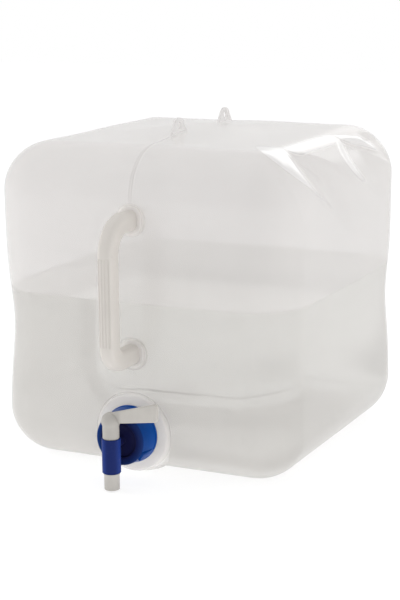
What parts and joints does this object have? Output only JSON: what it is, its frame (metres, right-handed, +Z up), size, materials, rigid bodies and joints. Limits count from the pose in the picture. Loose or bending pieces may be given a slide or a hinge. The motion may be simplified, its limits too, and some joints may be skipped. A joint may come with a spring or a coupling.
{
  "type": "collapsible water container",
  "caption": "Cube-shaped soft plastic water container with a side handle and a lever drain tap clamped by a union cap low on the front.",
  "frame": {"origin": "middle of the flat underside, on the surface that the container stands on", "axes": "+Z up, -Y out of the front wall that carries the handle and the tap, +X to the right as seen from the front"},
  "size_m": [0.28, 0.3312, 0.2945],
  "materials": {
    "milky_plastic": "satin",
    "white_plastic": "satin",
    "blue_plastic": "gloss",
    "seal_rubber": "matte"
  },
  "bodies": {
    "container": {"vessel": "milky_plastic", "carry_handle": "white_plastic"},
    "gasket": {"flange_gasket": "seal_rubber"},
    "cap": {"screw_cap": "blue_plastic"},
    "tap": {"tap_body": "blue_plastic"},
    "plug": {"tap_plug": "white_plastic"}
  },
  "joints": [
    {"name": "closure_travel", "type": "slide", "parent": "container", "child": "gasket", "axis": [0, -1, 0], "range_m": [0, 0.015]},
    {"name": "cap_turn", "type": "hinge", "parent": "gasket", "child": "cap", "pos_m": [0, -0.142, 0.039], "axis": [0, -1, 0], "range_deg": [0, 1080]},
    {"name": "tap_swivel", "type": "hinge", "parent": "gasket", "child": "tap", "pos_m": [0, -0.142, 0.039], "axis": [0, -1, 0], "continuous": true},
    {"name": "plug_turn", "type": "hinge", "parent": "tap", "child": "plug", "pos_m": [0, -0.1808, 0.039], "axis": [0, 0, 1], "range_deg": [-90, 0]}
  ],
  "couplings": [
    {"joint": "closure_travel", "follows": "cap_turn", "m_per_rad": 0.0007957}
  ]
}
